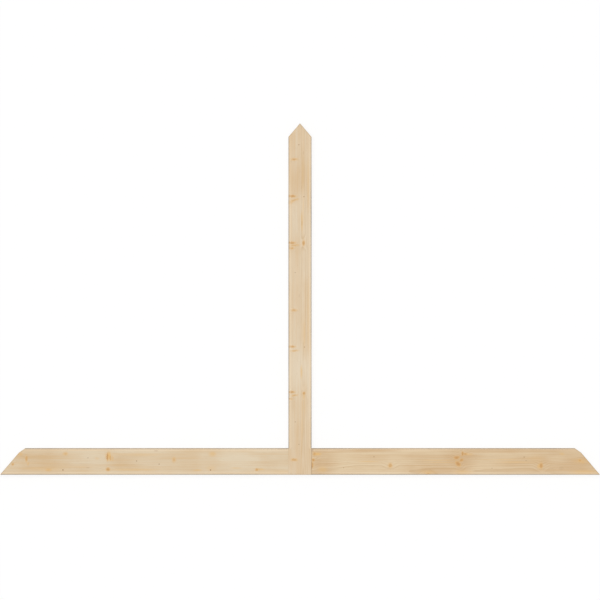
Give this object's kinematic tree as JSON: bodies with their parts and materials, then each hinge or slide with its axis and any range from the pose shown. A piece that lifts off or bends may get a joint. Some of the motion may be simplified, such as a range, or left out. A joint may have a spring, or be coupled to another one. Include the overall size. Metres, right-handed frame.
{
  "type": "timber gable bracket",
  "caption": "Flat inverted-T timber bracket for a gable peak: a pointed king post between tie beams whose ends are cut to the roof slope.",
  "frame": {"origin": "on the back face, where the centre lines of the king post and the tie beams cross", "axes": "+X along the tie beams, +Y up the king post to its point, +Z from the back face to the front face; the bracket lies on its back"},
  "size_m": [2.134, 1.25, 0.038],
  "materials": {
    "post_fir": "smooth planed softwood, unfinished",
    "left_beam_fir": "smooth planed softwood, unfinished",
    "right_beam_fir": "smooth planed softwood, unfinished"
  },
  "bodies": {
    "root": {"king_post": "post_fir", "left_tie_beam": "left_beam_fir", "right_tie_beam": "right_beam_fir"}
  },
  "joints": []
}
